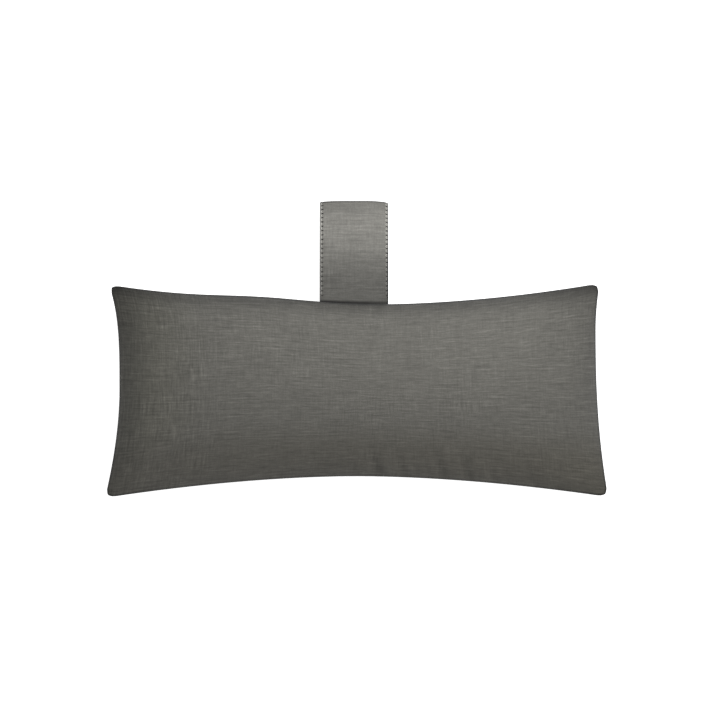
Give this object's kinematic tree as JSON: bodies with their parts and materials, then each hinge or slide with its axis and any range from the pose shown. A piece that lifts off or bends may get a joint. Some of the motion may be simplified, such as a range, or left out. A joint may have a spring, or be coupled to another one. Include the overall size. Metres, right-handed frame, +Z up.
{
  "type": "headrest pillow with counterweight strap",
  "caption": "Stuffed rectangular head pillow with a knife-edge seam and a folded, edge-stitched strap that balances it over a chair back.",
  "frame": {"origin": "centre of the flattened base, on the table that the pillow lies on", "axes": "+X along the pillow's length, +Y towards the strap, +Z up from its back to its face"},
  "size_m": [0.508, 0.2982, 0.0963],
  "materials": {
    "canvas": "matte",
    "fibre": "matte",
    "seam_thread": "matte",
    "stitching": "matte",
    "steel": "satin"
  },
  "bodies": {
    "pillow": {"front_panel": "canvas", "back_panel": "canvas", "fibre_fill": "fibre", "seam_thread_right": "seam_thread", "seam_thread_left": "seam_thread", "closing_seam_thread": "seam_thread", "strap_root": "canvas"},
    "strap": {"strap_face": "canvas", "strap_lining": "canvas", "strap_left_stitching": "stitching", "strap_right_stitching": "stitching"},
    "tail": {"tail_face": "canvas", "tail_lining": "canvas", "counterweight_plate": "steel", "tail_left_stitching": "stitching", "tail_right_stitching": "stitching", "end_hem_stitching": "stitching", "pocket_cross_stitching": "stitching"}
  },
  "joints": [
    {"name": "strap_lift", "type": "hinge", "parent": "pillow", "child": "strap", "pos_m": [-0.003, 0.08825, 0.042], "axis": [1, 0, 0], "range_deg": [0, 90]},
    {"name": "tail_unfold", "type": "hinge", "parent": "strap", "child": "tail", "pos_m": [-0.003, 0.1868, 0.00445], "axis": [1, 0, 0], "range_deg": [0, 180]}
  ]
}
